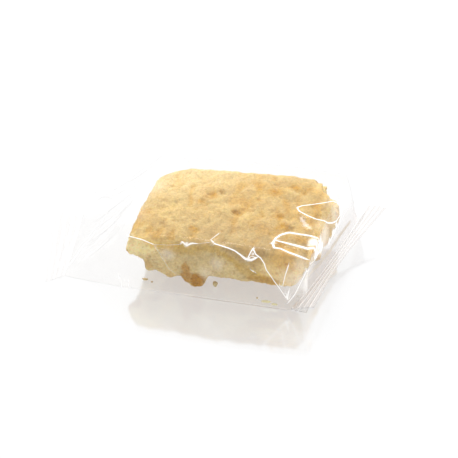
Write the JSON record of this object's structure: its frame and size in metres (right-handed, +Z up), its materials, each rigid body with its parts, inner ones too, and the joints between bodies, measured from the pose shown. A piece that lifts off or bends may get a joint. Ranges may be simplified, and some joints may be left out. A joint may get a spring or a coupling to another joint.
{
  "type": "wrapped financier cake",
  "caption": "Small rectangular almond sponge cake with a pitted golden crust and torn crumbly sides, sealed in a clear film pack with crimped ends.",
  "frame": {"origin": "on the floor, under the middle of the pack's box", "axes": "+X along the pack from its wide left fin to its narrow right fin, +Y towards the raised back ends of the seals, +Z up"},
  "size_m": [0.0954, 0.0478, 0.0189],
  "materials": {
    "golden_sponge": "matte baked sponge, golden crust over cream crumb",
    "clear_film": "clear glossy packing film with crimped seals"
  },
  "bodies": {
    "root": {"cake": "golden_sponge", "film_pack": "clear_film"}
  },
  "joints": []
}
